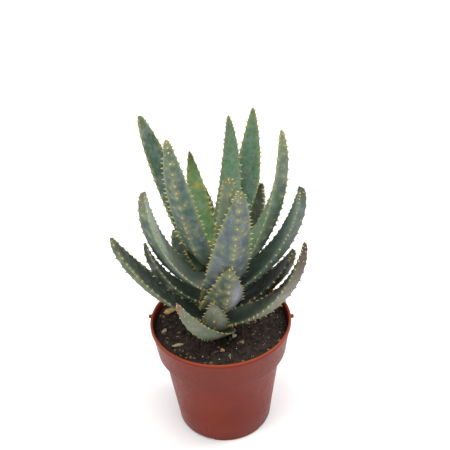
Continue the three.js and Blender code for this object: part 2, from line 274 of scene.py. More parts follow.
def makeFloor(size=8):
    bpy.ops.mesh.primitive_plane_add(size=size)
    floor = nameNew("paleFloor")
    material, tree, shader = newFinish("floorPaper", 0.8, 0.1)
    patch = grainOf(tree, placeOf(tree), 3.0)
    feed(tree, shader["Base Color"], mixTint(tree, patch, tint("f6f6f6"), tint("fafafa")))
    floor.data.materials.append(material)


makeCamera(cameraSet)
makeLights(lightSet)
makeFloor()
print("stage: camera, light and floor")


# Pot

pot = {
    "sides": 160, "height": 0.092, "rim": 0.0523, "collar": 0.0255, "collarFoot": 0.0481, "step": 0.0441,
    "foot": 0.0349, "wall": 0.0013, "lip": 0.0019, "pad": 0.022, "groove": 0.002, "footWidth": 0.0026,
    "notches": (285, 45, 165), "notchTurn": 60, "notchTop": 0.0018,
    "holes": (15, 105, 195, 285), "holeRadius": 0.003,
    "lugs": (1, 171), "lug": (0.003, 0.0026, 0.0024), "edge": 0.00035,
}


def potProfile():
    p = pot
    ledge = p["height"] - p["collar"]
    plate = p["groove"] + p["wall"] + 0.0003
    return [
        (p["pad"], 0), (p["pad"] + 0.0006, p["groove"]), (p["foot"] - p["footWidth"], p["groove"]),
        (p["foot"] - p["footWidth"] + 0.0004, 0.0), (p["foot"] - 0.0004, 0), (p["foot"] + 0.0003, 0.0012),
        (p["foot"] + (p["step"] - p["foot"]) * 0.35, ledge * 0.35), (p["step"], ledge - 0.0002),
        (p["collarFoot"] - 0.0003, ledge), (p["collarFoot"] + 0.0001, ledge + 0.0008),
        (p["rim"] - 0.0011, p["height"] - 0.0045), (p["rim"] - 0.0001, p["height"] - 0.0026),
        (p["rim"], p["height"] - 0.0011), (p["rim"] - 0.0005, p["height"] - 0.0001),
        (p["rim"] - 0.0011, p["height"]), (p["rim"] - p["lip"] + 0.0001, p["height"] - 0.0004),
        (p["rim"] - p["lip"] - 0.0003, p["height"] - 0.0014),
        (p["collarFoot"] - p["wall"], ledge + p["wall"]), (p["step"] - p["wall"], ledge - p["wall"]),
        (p["foot"] - p["wall"], plate), (p["pad"] - 0.0007, plate), (p["pad"] - 0.0014, p["wall"] + 0.0003),
    ]


def ringUp(profile):  # the ring that is selected is extruded and scaled from one radius to the next
    for (radius, height), (nextRadius, nextHeight) in zip(profile, profile[1:]):
        bpy.ops.mesh.extrude_region_move(TRANSFORM_OT_translate={"value": (0, 0, nextHeight - height)})
        grow = nextRadius / radius
        bpy.ops.transform.resize(value=(grow, grow, 1), center_override=(0, 0, 0))


def cutBy(piece, cutter, operation="DIFFERENCE"):
    cut = piece.modifiers.new("cut", "BOOLEAN")
    cut.object = cutter
    cut.operation = operation
    cut.solver = "EXACT"
    applyAll(piece)
    dropPiece(cutter)


def makeNotch(azimuth):
    width = pot["footWidth"] + 0.003
    bpy.ops.mesh.primitive_plane_add(size=1)
    cutter = nameNew("notchCutter")
    cutter.scale = (width, pot["notchTop"] + 0.002, 1)
    cutter.rotation_euler = (math.radians(90), 0, 0)
    cutter.location = (pot["foot"] - pot["footWidth"] / 2 + 0.001, 0, (pot["notchTop"] - 0.002) / 2)
    placeInMesh(cutter)
    bpy.ops.object.mode_set(mode="EDIT")
    bpy.ops.mesh.select_all(action="SELECT")
    bpy.ops.mesh.spin(steps=24, angle=math.radians(pot["notchTurn"]), center=(0, 0, 0), axis=(0, 0, 1))
    bpy.ops.mesh.select_all(action="SELECT")
    bpy.ops.mesh.remove_doubles(threshold=0.00001)
    bpy.ops.mesh.normals_make_consistent(inside=False)
    bpy.ops.object.mode_set(mode="OBJECT")
    cutter.rotation_euler = (0, 0, math.radians(azimuth - pot["notchTurn"] / 2))
    placeInMesh(cutter)
    return cutter


def makePot():
    profile = potProfile()
    deselectAll()
    bpy.ops.mesh.primitive_circle_add(vertices=pot["sides"], radius=profile[0][0], fill_type="NOTHING")
    shell = nameNew("potShell")
    bpy.ops.object.mode_set(mode="EDIT")
    bpy.ops.mesh.select_mode(type="EDGE")
    bpy.ops.mesh.select_all(action="SELECT")
    ringUp(profile)
    bpy.ops.mesh.select_all(action="SELECT")
    bpy.ops.mesh.fill_holes(sides=0)
    bpy.ops.mesh.normals_make_consistent(inside=False)
    bpy.ops.object.mode_set(mode="OBJECT")
    for azimuth in pot["notches"]:
        cutBy(shell, makeNotch(azimuth))
    ringRadius = (pot["pad"] + pot["foot"] - pot["footWidth"]) / 2
    for azimuth in pot["holes"]:
        turn = math.radians(azimuth)
        deselectAll()
        bpy.ops.mesh.primitive_cylinder_add(vertices=40, radius=pot["holeRadius"], depth=0.008, location=(
            ringRadius * math.cos(turn), ringRadius * math.sin(turn), pot["groove"]))
        cutter = nameNew("holeCutter")
        placeInMesh(cutter)
        cutBy(shell, cutter)
    for azimuth in pot["lugs"]:
        turn = math.radians(azimuth)
        reach = pot["rim"] + 0.0005
        deselectAll()
        bpy.ops.mesh.primitive_cube_add(size=1, rotation=(0, 0, turn), scale=pot["lug"], location=(
            reach * math.cos(turn), reach * math.sin(turn), pot["height"] - 0.0018))
        lug = nameNew("rimLug")
        placeInMesh(lug)
        rounding = lug.modifiers.new("rounding", "BEVEL")
        rounding.width = 0.0007
        rounding.segments = 3
        applyAll(lug)
        cutBy(shell, lug, "UNION")
    edge = shell.modifiers.new("softEdge", "BEVEL")
    edge.width = pot["edge"]
    edge.segments = 2
    edge.limit_method = "ANGLE"
    edge.angle_limit = math.radians(40)
    applyAll(shell)
    smoothPiece(shell, 35)
    points = readPoints(shell)
    ledge = pot["height"] - pot["collar"]
    slope = (pot["rim"] - pot["collarFoot"]) / pot["collar"]
    middle = pot["collarFoot"] - pot["wall"] / 2 + slope * (points[:, 2] - ledge)
    # marks the inside wall, which the pot finish darkens as painted shade
    writeMask(shell, "insideWall", (np.hypot(points[:, 0], points[:, 1]) < middle) & (points[:, 2] > ledge))
    return shell


def potFinish():
    material, tree, shader = newFinish("potPlastic", 0.4, 0.1)
    place = placeOf(tree)
    cloudy = grainOf(tree, place, 28.0, 3.0)
    fine = grainOf(tree, place, 260.0, 4.0)
    base = mixTint(tree, rangeOf(tree, cloudy, 0.3, 0.7), tint("742718"), tint("682216"))
    base = mixTint(tree, rangeOf(tree, fine, 0.35, 0.75, 0, 0.25), base, tint("7c3424"))
    height = put(tree, "ShaderNodeSeparateXYZ", {"Vector": place}).outputs["Z"]
    # lighter band along the top of the lip (a04e33): painted highlight
    lip = rangeOf(tree, height, pot["height"] - 0.0016, pot["height"] - 0.0002)
    base = mixTint(tree, mathOf(tree, "MULTIPLY", lip, 0.55), base, tint("a04e33"))
    ledge = pot["height"] - pot["collar"]
    # darker band just under the collar's ledge (4a1a14): painted shade where the collar overhangs the body
    collarShade = mathOf(tree, "MULTIPLY", rangeOf(tree, height, ledge - 0.0022, ledge),
                   rangeOf(tree, height, ledge, ledge + 0.0009, 1, 0))
    base = mixTint(tree, mathOf(tree, "MULTIPLY", collarShade, 0.5), base, tint("4a1a14"))
    # inside wall darkened towards the soil (2a100b): painted shade inside the pot
    shadeNearSoil = rangeOf(tree, height, 0.0865, 0.0905, 0.75, 0.0)
    innerWallShade = mathOf(tree, "MULTIPLY", maskOf(tree, "insideWall"), shadeNearSoil)
    base = mixTint(tree, innerWallShade, base, tint("2a100b"))
    dust = grainOf(tree, place, 900.0, 2.0)
    base = mixTint(tree, rangeOf(tree, dust, 0.66, 0.8, 0, 0.25), base, tint("5a3a30"))
    feed(tree, shader["Base Color"], base)
    feed(tree, shader["Roughness"], rangeOf(tree, fine, 0.3, 0.8, 0.34, 0.5))
    feed(tree, shader["Normal"], bumpOf(tree, fine, 0.0001, 0.5))
    return material


potShell = makePot()
potShell.data.materials.append(potFinish())
dress(potShell, "pot_plastic", "pot")
print("stage: pot")


# Soil

soil = {
    "level": 0.0855, "mound": 0.0015, "moundSpread": 24.5, "lump": 0.0009, "edge": 0.0488,
    "grid": 170, "crumb": 0.0011,
    "inside": [(0.0460, 0.0678), (0.0420, 0.0652), (0.0328, 0.0039)],
}


def soilHeight(x, y):  # the same low mound and lumps as the solid, in metres
    u, v = x * 1000, y * 1000
    mound = soil["mound"] * math.exp(-(u * u + v * v) / soil["moundSpread"] ** 2)
    coarse = math.sin(0.21 * u + 1.3) * math.cos(0.17 * v - 0.6)
    fine = math.sin(0.53 * u - 0.4 * v) * math.cos(0.47 * v + 0.3 * u + 2)
    return soil["level"] + mound + soil["lump"] * (0.6 * coarse + 0.4 * fine)


def crumbHeight(x, y):
    spot = Vector((x, y, 0))
    lumps = noise.turbulence(spot * 260, 3, False, noise_basis="VORONOI_F1")
    grit = noise.noise(spot * 900)
    return soil["crumb"] * (lumps - 0.6) + 0.00025 * grit


def makeSoil():
    deselectAll()
    bpy.ops.mesh.primitive_grid_add(x_subdivisions=soil["grid"], y_subdivisions=soil["grid"], size=2)
    ground = nameNew("soilGround")
    points = readPoints(ground)
    x, y = points[:, 0].copy(), points[:, 1].copy()
    points[:, 0] = soil["edge"] * x * np.sqrt(1 - y * y / 2)  # the square grid is drawn out into a disc
    points[:, 1] = soil["edge"] * y * np.sqrt(1 - x * x / 2)
    radius = np.hypot(points[:, 0], points[:, 1])
    calm = 1 - softStep(radius, soil["edge"] - 0.0012, soil["edge"])
    for i, point in enumerate(points):
        point[2] = soilHeight(point[0], point[1]) + calm[i] * crumbHeight(point[0], point[1])
    writePoints(ground, points)
    bpy.ops.object.mode_set(mode="EDIT")
    bpy.ops.mesh.select_mode(type="EDGE")
    bpy.ops.mesh.select_all(action="DESELECT")
    bpy.ops.mesh.select_non_manifold()
    radius = soil["edge"]
    for nextRadius, height in soil["inside"]:
        bpy.ops.mesh.extrude_region_move(TRANSFORM_OT_translate={"value": (0, 0, -0.001)})
        shrink = nextRadius / radius
        bpy.ops.transform.resize(value=(shrink, shrink, 0), center_override=(0, 0, height))
        radius = nextRadius
    bpy.ops.mesh.fill_holes(sides=0)
    bpy.ops.mesh.select_all(action="SELECT")
    bpy.ops.mesh.normals_make_consistent(inside=False)
    bpy.ops.object.mode_set(mode="OBJECT")
    smoothPiece(ground, 70)
    return ground


def soilFinish(name, dark, light, scale, rough=0.95):
    material, tree, shader = newFinish(name, rough, 0.25)
    place = placeOf(tree)
    patch = grainOf(tree, place, scale, 4.0, 0.65)
    fleck = grainOf(tree, place, scale * 5, 3.0, 0.7)
    base = mixTint(tree, rangeOf(tree, patch, 0.35, 0.65), tint(dark), tint(light))
    base = mixTint(tree, rangeOf(tree, fleck, 0.6, 0.75, 0, 0.6), base, tint("6d5644"))
    feed(tree, shader["Base Color"], base)
    feed(tree, shader["Normal"], bumpOf(tree, fleck, 0.0004, 0.8))
    return material


soilGround = makeSoil()
soilGround.data.materials.append(soilFinish("peatGround", "201c18", "3a2f29", 300.0))
dress(soilGround, "potting_soil", "soil")
print("stage: soil")


# Crumbs, grains and bark on the soil

crumbSets = [
    {"name": "peatCrumbs", "count": 900, "small": 0.0007, "large": 0.0022, "flat": (0.6, 1.0), "long": 1.5,
     "sides": 1, "slot": "potting_soil", "finish": ("peatCrumb", "1e1a17", "4a3a30", 500.0)},
    {"name": "barkCrumbs", "count": 120, "small": 0.0009, "large": 0.0026, "flat": (0.3, 0.6), "long": 2.4,
     "sides": 1, "slot": "bark", "finish": ("barkCrumb", "4a3a2c", "96805c", 500.0)},
    {"name": "perliteSpecks", "count": 80, "small": 0.0004, "large": 0.0010, "flat": (0.7, 1.0), "long": 1.2,
     "sides": 1, "slot": "perlite", "finish": ("perliteSpeck", "b5b0a4", "e6e3da", 900.0)},
]
chipPieces = [
    {"node": "bark_chip_large", "at": (-0.039, 0.0175), "size": (0.0085, 0.0065, 0.0026), "turn": 25,
     "slot": "bark", "finish": ("barkLarge", "9a7748", "b99a66", 260.0)},
    {"node": "bark_chip_long", "at": (-0.032, -0.021), "size": (0.009, 0.003, 0.0016), "turn": 12,
     "slot": "bark", "finish": ("barkLong", "7f7858", "a39a74", 300.0)},
    {"node": "bark_chip_small", "at": (-0.042, -0.004), "size": (0.0055, 0.0036, 0.0018), "turn": 60,
     "slot": "bark", "finish": ("barkSmall", "93806a", "b8a48c", 300.0)},
    {"node": "grit_stone", "at": (0.0005, -0.030), "size": (0.003, 0.0034, 0.0024), "turn": 0,
     "slot": "grit", "finish": ("gritStone", "b98a62", "d0a67f", 400.0)},
    {"node": "perlite_crumb", "at": (0.0095, -0.015), "size": (0.004, 0.003, 0.002), "turn": 30,
     "slot": "perlite", "finish": ("perliteStone", "bcb8b0", "e4e1da", 500.0)},
]


def makeLump(name, fineness, seed, rough=0.35):  # a rounded lump one unit across
    deselectAll()
    bpy.ops.mesh.primitive_ico_sphere_add(subdivisions=fineness, radius=0.5)
    lump = nameNew(name)
    points = readPoints(lump)
    for point in points:
        spot = Vector(point) * 2.2 + Vector((seed * 7.3, seed * 3.1, 0))
        point *= 1 + rough * noise.noise(spot) + 0.4 * rough * noise.noise(spot * 2.7)
    writePoints(lump, points)
    smoothPiece(lump, 50)
    return lump


def scatterCrumbs(values, seed):
    draw = random.Random(seed)
    lumps = [makeLump(f"lump{i}", values["sides"] + 1, i + seed) for i in range(4)]
    pieces = []
    for i in range(values["count"]):
        radius = 0.0475 * math.sqrt(draw.uniform(0.02, 1))
        angle = draw.uniform(0, 2 * math.pi)
        x, y = radius * math.cos(angle), radius * math.sin(angle)
        size = draw.uniform(values["small"], values["large"]) * draw.uniform(0.6, 1)
        flat = draw.uniform(*values["flat"])
        shape = Matrix.Diagonal((size * draw.uniform(1, values["long"]), size, size * flat, 1))
        turn = Matrix.Rotation(draw.uniform(0, 6.28), 4, "Z") @ Matrix.Rotation(draw.uniform(-0.5, 0.5), 4, "X")
        crumb = ownCopy(draw.choice(lumps), f"{values['name']}{i}")
        lift = soilHeight(x, y) + crumbHeight(x, y) + size * flat * 0.2
        crumb.data.transform(Matrix.Translation((x, y, lift)) @ turn @ shape)
        pieces.append(crumb)
    for lump in lumps:
        dropPiece(lump)
    crumbs = joinPieces(pieces)
    crumbs.name = values["name"]
    crumbs.data.materials.append(soilFinish(*values["finish"]))
    dress(crumbs, values["slot"])


def makeChip(values, seed):
    chip = makeLump(values["node"].replace("_", " ").title().replace(" ", ""), 4, seed, 0.5)
    x, y = values["at"]
    lift = soilHeight(x, y) + values["size"][2] * 0.35
    shape = Matrix.Diagonal((*[0.92 * side for side in values["size"]], 1))
    turn = Matrix.Rotation(math.radians(values["turn"]), 4, "Z")
    chip.data.transform(Matrix.Translation((x, y, lift)) @ turn @ shape)
    chip.data.materials.append(soilFinish(*values["finish"]))
    dress(chip, values["slot"], values["node"])


for seed, values in enumerate(crumbSets):
    scatterCrumbs(values, seed + 3)
for seed, values in enumerate(chipPieces):
    makeChip(values, seed + 20)
print("stage: crumbs and chips")


# Stem

stem = {"foot": (0.0021, 0, 0.058), "top": (-0.0063, 0, 0.162), "footRadius": 0.0065, "topRadius": 0.005,
        "bud": 0.006, "sides": 48, "rings": 40, "scar": 0.00025, "skinRoom": 0.0003}


def stemPoint(height):
    foot, top = Vector(stem["foot"]), Vector(stem["top"])
    return foot.lerp(top, (height - foot.z) / (top.z - foot.z))


def makeStem():
    foot, top = Vector(stem["foot"]), Vector(stem["top"])
    length = (top - foot).length
    deselectAll()
    bpy.ops.mesh.primitive_circle_add(vertices=stem["sides"], radius=stem["footRadius"], fill_type="NOTHING")
    post = nameNew("stemPost")
    rings = stem["rings"]
    profile = [(stem["footRadius"], 0)]
    for i in range(1, rings + 1):
        share = i / rings
        scar = stem["scar"] * math.sin(share * 90)
        radius = stem["footRadius"] + (stem["topRadius"] - stem["footRadius"]) * share - stem["skinRoom"] + scar
        profile.append((radius, share * (length - stem["bud"])))
    profile.append((0.0004, length - 0.0004))
    bpy.ops.object.mode_set(mode="EDIT")
    bpy.ops.mesh.select_mode(type="EDGE")
    bpy.ops.mesh.select_all(action="SELECT")
    ringUp(profile)
    bpy.ops.mesh.select_all(action="SELECT")
    bpy.ops.mesh.fill_holes(sides=0)
    bpy.ops.mesh.normals_make_consistent(inside=False)
    bpy.ops.object.mode_set(mode="OBJECT")
    lean = Vector((0, 0, 1)).rotation_difference(top - foot).to_matrix().to_4x4()
    post.matrix_world = Matrix.Translation(foot) @ lean
    placeInMesh(post)
    smoothPiece(post, 60)
    return post


stemPost = makeStem()
stemPost.data.materials.append(soilFinish("stemSkin", "5a5540", "7d7a58", 200.0, 0.8))
dress(stemPost, "leaf_green", "stem")
print("stage: stem")


# Leaves
# height: where a leaf leaves the stem; azimuth: where it points; rise, tipRise: its slopes; sweep: sideways turn;
# twist: roll about its length; bend, blunt: exponents of its curve and its outline;
# skin: colours of the upper face, the lower face and the base; look: its blotches and tip, which starts at tipFrom;
# stains: place along and across, size along and across, colour of a mark on the skin; on leaf 06 the mark is a
# patch of painted light; spines: how large its spines are.

leaves = [
    {"node": "leaf_01_front_left_low", "height": 0.088, "azimuth": 256, "rise": 21, "tipRise": 65, "sweep": -37,
     "length": 0.081, "width": 0.0275, "twist": 2, "bend": 0.6, "blunt": 0.67,
     "skin": ("7c806c", "7c806e", "6b6d5b"), "look": "worn", "tipFrom": 0.93, "spines": 0.5,
     "stainsAndPaintedLight": [(0.97, 0, 0.05, 0.8, "9c5e50")]},
    {"node": "leaf_02_front_low", "height": 0.089, "azimuth": 259, "rise": 45, "tipRise": 80, "sweep": 8,
     "length": 0.043, "width": 0.02, "twist": -2, "bend": 1, "blunt": 0.66,
     "skin": ("a4a698", "a6a898", "8a8a62"), "look": "worn", "tipFrom": 0.9},
    {"node": "leaf_03_right_low", "height": 0.097, "azimuth": 331, "rise": 11, "tipRise": 80, "sweep": 15,
     "length": 0.105, "width": 0.026, "twist": 0, "bend": 0.66, "blunt": 0.6,
     "skin": ("7c8a78", "8c8a7c", "5a6a58"), "look": "purple", "tipFrom": 0.55,
     # dark red streaks along the channel of leaf 03
     "stainsAndPaintedLight": [(0.52, 0.75, 0.06, 0.2, "4a1c20"), (0.6, 0.6, 0.04, 0.16, "4a1c20"),
                (0.44, 0.8, 0.03, 0.1, "4a1c20")]},
    {"node": "leaf_04_left_low", "height": 0.098, "azimuth": 190, "rise": 29, "tipRise": 64, "sweep": -9,
     "length": 0.103, "width": 0.030, "twist": 3, "bend": 0.76, "blunt": 0.62,
     "skin": ("3c503c", "4e5e4a", "495543"), "look": "plain", "tipFrom": 0.93},
    {"node": "leaf_05_back_low", "height": 0.097, "azimuth": 78, "rise": 20, "tipRise": 55, "sweep": 0,
     "length": 0.070, "width": 0.026, "twist": 0, "bend": 0.8, "blunt": 0.6,
     "skin": ("566a5c", "5f6b60", "4c5440"), "look": "plain", "tipFrom": 0.93},
    # the pale lilac patch on the right half of leaf 06 is painted light on its lit side
    {"node": "leaf_06_front_middle", "height": 0.107, "azimuth": 285, "rise": 49, "tipRise": 75, "sweep": 5,
     "length": 0.064, "width": 0.030, "twist": -17, "bend": 1, "blunt": 0.74,
     "skin": ("5b6350", "545c50", "5d6048"), "look": "plain", "tipFrom": 0.9,
     "stainsAndPaintedLight": [(0.5, 0.65, 0.25, 0.4, "b6b6c4")]},
    {"node": "leaf_07_back_left_low", "height": 0.104, "azimuth": 128, "rise": 25, "tipRise": 60, "sweep": 0,
     "length": 0.062, "width": 0.025, "twist": 0, "bend": 0.8, "blunt": 0.6,
     "skin": ("566a5c", "5f6b60", "4c5440"), "look": "plain", "tipFrom": 0.93},
    # leaf 08 sits in shade: its very dark skin colours are painted shade
    {"node": "leaf_08_right_dark", "height": 0.110, "azimuth": 352, "rise": 18, "tipRise": 68, "sweep": -2,
     "length": 0.072, "width": 0.027, "twist": 0, "bend": 0.97, "blunt": 0.6,
     "skin": ("1c2419", "222a1e", "242b1c"), "look": "dark", "tipFrom": 0.95},
    # leaf 09 sits in the shade of the leaf above it: its very dark lower face colour is painted shade
    {"node": "leaf_09_left_dark", "height": 0.115, "azimuth": 201, "rise": 20, "tipRise": 76, "sweep": -6,
     "length": 0.076, "width": 0.023, "twist": -2, "bend": 0.66, "blunt": 0.68,
     "skin": ("6a7c6e", "242a21", "7a8a70"), "look": "dark", "tipFrom": 0.95},
    {"node": "leaf_10_front_large", "height": 0.117, "azimuth": 296, "rise": 63, "tipRise": 77, "sweep": 3,
     "length": 0.119, "width": 0.030, "twist": -36, "bend": 0.92, "blunt": 0.68,
     "skin": ("748278", "647076", "565e4c"), "look": "plain", "tipFrom": 0.95},
    {"node": "leaf_11_back_middle", "height": 0.118, "azimuth": 98, "rise": 35, "tipRise": 68, "sweep": 0,
     "length": 0.078, "width": 0.025, "twist": 0, "bend": 0.9, "blunt": 0.6,
     "skin": ("607466", "667468", "5c6650"), "look": "plain", "tipFrom": 0.95},
    # leaf 12 sits at the back in shade: its dark skin colours are painted shade
    {"node": "leaf_12_back_right_dark", "height": 0.122, "azimuth": 28, "rise": 42, "tipRise": 86, "sweep": 1,
     "length": 0.084, "width": 0.021, "twist": 0, "bend": 1, "blunt": 0.6,
     "skin": ("4a5440", "4a5440", "4c5038"), "look": "dark", "tipFrom": 0.9},
    {"node": "leaf_13_right_curved", "height": 0.124, "azimuth": 346, "rise": 26, "tipRise": 82, "sweep": 7,
     "length": 0.108, "width": 0.029, "twist": 6, "bend": 0.81, "blunt": 0.47,
     "skin": ("7e9288", "5a6a62", "6e8078"), "look": "dark", "tipFrom": 0.93},
    {"node": "leaf_14_back_left_middle", "height": 0.127, "azimuth": 118, "rise": 50, "tipRise": 72, "sweep": 0,
     "length": 0.06, "width": 0.021, "twist": 0, "bend": 1, "blunt": 0.6,
     "skin": ("607466", "667468", "5c6650"), "look": "plain", "tipFrom": 0.95},
    # the upper face and base colours of leaf 15 are made light as painted light, against the shade that falls on
    # them
    {"node": "leaf_15_left_curved", "height": 0.129, "azimuth": 198, "rise": 31, "tipRise": 86, "sweep": -8,
     "length": 0.095, "width": 0.031, "twist": -9, "bend": 0.61, "blunt": 0.52,
     "skin": ("aeb8ac", "5c6a62", "b0bcae"), "look": "plain", "tipFrom": 0.93},
    {"node": "leaf_16_back_right_tall", "height": 0.131, "azimuth": 51, "rise": 41, "tipRise": 82, "sweep": 17,
     "length": 0.124, "width": 0.025, "twist": 22, "bend": 0.95, "blunt": 0.72,
     "skin": ("6c8c72", "647466", "769070"), "look": "plain", "tipFrom": 0.95},
    {"node": "leaf_17_right_tall", "height": 0.131, "azimuth": 357, "rise": 38, "tipRise": 89, "sweep": -15,
     "length": 0.1325, "width": 0.0327, "twist": 2, "bend": 0.6, "blunt": 0.66,
     "skin": ("88a082", "667868", "8a9680"), "look": "amber", "tipFrom": 0.95},
    {"node": "leaf_18_front_upright", "height": 0.138, "azimuth": 304, "rise": 64, "tipRise": 88, "sweep": -11,
     "length": 0.094, "width": 0.018, "twist": -4, "bend": 0.95, "blunt": 0.49,
     "skin": ("727e66", "707e68", "6e7a60"), "look": "plain", "tipFrom": 0.93},
    {"node": "leaf_19_back_left_tall", "height": 0.141, "azimuth": 151, "rise": 66, "tipRise": 69, "sweep": -4,
     "length": 0.118, "width": 0.025, "twist": -10, "bend": 1, "blunt": 0.58,
     "skin": ("486050", "566658", "66785e"), "look": "plain", "tipFrom": 0.95},
    {"node": "leaf_20_back_tall", "height": 0.139, "azimuth": 62, "rise": 41, "tipRise": 101, "sweep": 4,
     "length": 0.114, "width": 0.0195, "twist": 18, "bend": 0.85, "blunt": 0.75,
     "skin": ("84a488", "6c7c6a", "84986c"), "look": "amber", "tipFrom": 0.95},
    {"node": "leaf_21_left_tall", "height": 0.148, "azimuth": 231, "rise": 67, "tipRise": 82, "sweep": 6,
     "length": 0.119, "width": 0.020, "twist": 42, "bend": 1.1, "blunt": 0.63,
     "skin": ("88a08c", "5a706c", "66765c"), "look": "amber", "tipFrom": 0.95},
    {"node": "leaf_22_young", "height": 0.149, "azimuth": 113, "rise": 73, "tipRise": 77, "sweep": 4,
     "length": 0.076, "width": 0.020, "twist": 2, "bend": 1, "blunt": 0.77,
     "skin": ("80a070", "80a070", "92b45c"), "look": "young", "tipFrom": 0.72,
     "stainsAndPaintedLight": [(0.66, -0.2, 0.03, 0.3, "c8ae3a")]},
    {"node": "leaf_23_heart", "height": 0.155, "azimuth": 330, "rise": 76, "tipRise": 86, "sweep": 0,
     "length": 0.032, "width": 0.011, "twist": 0, "bend": 1, "blunt": 0.75,
     "skin": ("8f9c58", "8f9c58", "a8a850"), "look": "young", "tipFrom": 0.8},
    {"node": "leaf_24_heart", "height": 0.157, "azimuth": 200, "rise": 80, "tipRise": 88, "sweep": 0,
     "length": 0.024, "width": 0.009, "twist": 0, "bend": 1, "blunt": 0.75,
     "skin": ("8f9c58", "8f9c58", "a8a850"), "look": "young", "tipFrom": 0.8},
]
# hollow above and keel below are shares of the half width; clasp fills the base out against the stem
leafShape = {"around": 64, "rings": 150, "crowding": 1.45, "steps": 200, "rootReach": 0.8, "edge": 0.0009,
             "hollow": 0.26, "hollowFade": 0.16, "hollowFill": 0.45, "keel": 0.46, "keelGain": 0.35,
             "keelFill": 0.1, "clasp": 0.07, "spread": 1.35, "keelSoft": 0.09, "unevenness": 0.0002}
spineShape = {"length": 0.0027, "width": 0.0008, "marginGap": 0.0052, "keelGap": 0.0066, "faceGap": 0.0078,
              "mound": 0.0005, "moundReach": 0.0014, "glowReach": 0.0027, "marginGlow": 0.72, "last": 0.985}
boxRoom = 0.0004  # how far a spine's point stays inside the solid's box
clipRoom = 0.0001

# the blotch round a spine, the tip of the leaf, and the slot of the leaves that have them
looks = {
    "plain": {"ring": "a2a468", "tip": "625f42", "slot": "leaf_green"},
    "amber": {"ring": "a2a270", "tip": "8e8448", "slot": "leaf_green"},
    # dark: darker ring and tip; on leaves 08, 09 and 12, which sit in shade, this is painted shade
    "dark": {"ring": "72764c", "tip": "343828", "slot": "leaf_green"},
    "young": {"ring": "b0a83c", "tip": "4c4c34", "slot": "leaf_young"},
    "worn": {"ring": "8d8858", "tip": "7c5e50", "slot": "leaf_olive"},
    "purple": {"ring": "8f8a5e", "tip": "523a38", "slot": "leaf_dry_purple"},
}
skinLight = 0.78


def walkLeaf(leaf):  # the centre line and its frame, in short steps
    steps = leafShape["steps"]
    s = np.linspace(0, 1, steps + 1)
    rise = np.radians(leaf["rise"] + (leaf["tipRise"] - leaf["rise"]) * s ** leaf["bend"])
    heading = np.radians(leaf["azimuth"] + leaf["sweep"] * s)
    along = np.stack([np.cos(rise) * np.cos(heading), np.cos(rise) * np.sin(heading), np.sin(rise)], 1)
    turn = math.radians(leaf["azimuth"])
    outward = Vector((math.cos(turn), math.sin(turn), 0))
    start = stemPoint(leaf["height"]) + leafShape["rootReach"] * stem["footRadius"] * outward
    pace = (along[1:] + along[:-1]) / 2 * leaf["length"] / steps
    centre = np.vstack([np.zeros(3), np.cumsum(pace, 0)]) + np.array(start)
    side = np.stack([-np.sin(heading), np.cos(heading), 0 * s], 1)
    up = np.cross(along, side)
    roll = (math.radians(leaf["twist"]) * s ** 0.7)[:, None]
    across = np.cos(roll) * side + np.sin(roll) * up
    upper = np.cos(roll) * up - np.sin(roll) * side
    return {"s": s, "centre": centre, "along": along, "across": across, "upper": upper}


def onLeaf(walk, key, s):
    return np.stack([np.interp(s, walk["s"], walk[key][:, axis]) for axis in range(3)], -1)


def halfWidth(leaf, s):
    outline = np.sin(np.pi / 2 * np.clip(1 - s, 0, 1) ** leaf["blunt"])
    return leaf["width"] / 2 * outline * (0.9 + 0.1 * np.clip(s / 0.12, 0, 1))


def leafSection(leaf, s, side, lower):  # how far a point lies across and above the leaf's own plane
    form = leafShape
    half = halfWidth(leaf, s)
    clasp = np.exp(-s / form["clasp"])
    hollow = (form["hollow"] - form["hollowFade"] * s - form["hollowFill"] * clasp) * half
    keel = (form["keel"] + form["keelGain"] * s - form["keelFill"] * clasp) * half
    blunt = np.minimum(form["edge"], 0.4 * half) / 2 * np.sqrt(np.clip(1 - side ** 6, 0, 1))
    soft, spread = form["keelSoft"], form["spread"]
    ridge = (side ** 2 + soft ** 2) ** (spread / 2) - soft ** spread
    ridge = ridge / ((1 + soft ** 2) ** (spread / 2) - soft ** spread)
    depth = np.where(lower, -blunt - keel * (1 - ridge), blunt - hollow * (1 - side ** 2))
    return side * half, depth


def leafPoint(leaf, walk, s, side, lower):
    reach, depth = leafSection(leaf, s, side, lower)
    return (onLeaf(walk, "centre", s) + onLeaf(walk, "across", s) * reach[..., None]
            + onLeaf(walk, "upper", s) * depth[..., None])


def makeLeafBlank():  # a long closed tube with a point, which every leaf is shaped from
    deselectAll()
    bpy.ops.mesh.primitive_cylinder_add(vertices=leafShape["around"], radius=1, depth=1, location=(0, 0, 0.5))
    blank = nameNew("leafBlank")
    placeInMesh(blank)
    bpy.ops.object.mode_set(mode="EDIT")
    bpy.ops.mesh.select_mode(type="EDGE")
    bpy.ops.mesh.select_all(action="DESELECT")
    shape = bmesh.from_edit_mesh(blank.data)
    for edge in shape.edges:
        edge.select = abs(edge.verts[0].co.z - edge.verts[1].co.z) > 0.5
    bmesh.update_edit_mesh(blank.data)
    bpy.ops.mesh.subdivide(number_cuts=leafShape["rings"] - 1)
    bpy.ops.mesh.select_mode(type="VERT")
    bpy.ops.mesh.select_all(action="DESELECT")
    shape = bmesh.from_edit_mesh(blank.data)
    for vert in shape.verts:
        vert.select = vert.co.z > 0.9999
    shape.select_flush_mode()
    bmesh.update_edit_mesh(blank.data)
    bpy.ops.mesh.merge(type="CENTER")
    bpy.ops.object.mode_set(mode="OBJECT")
    return blank


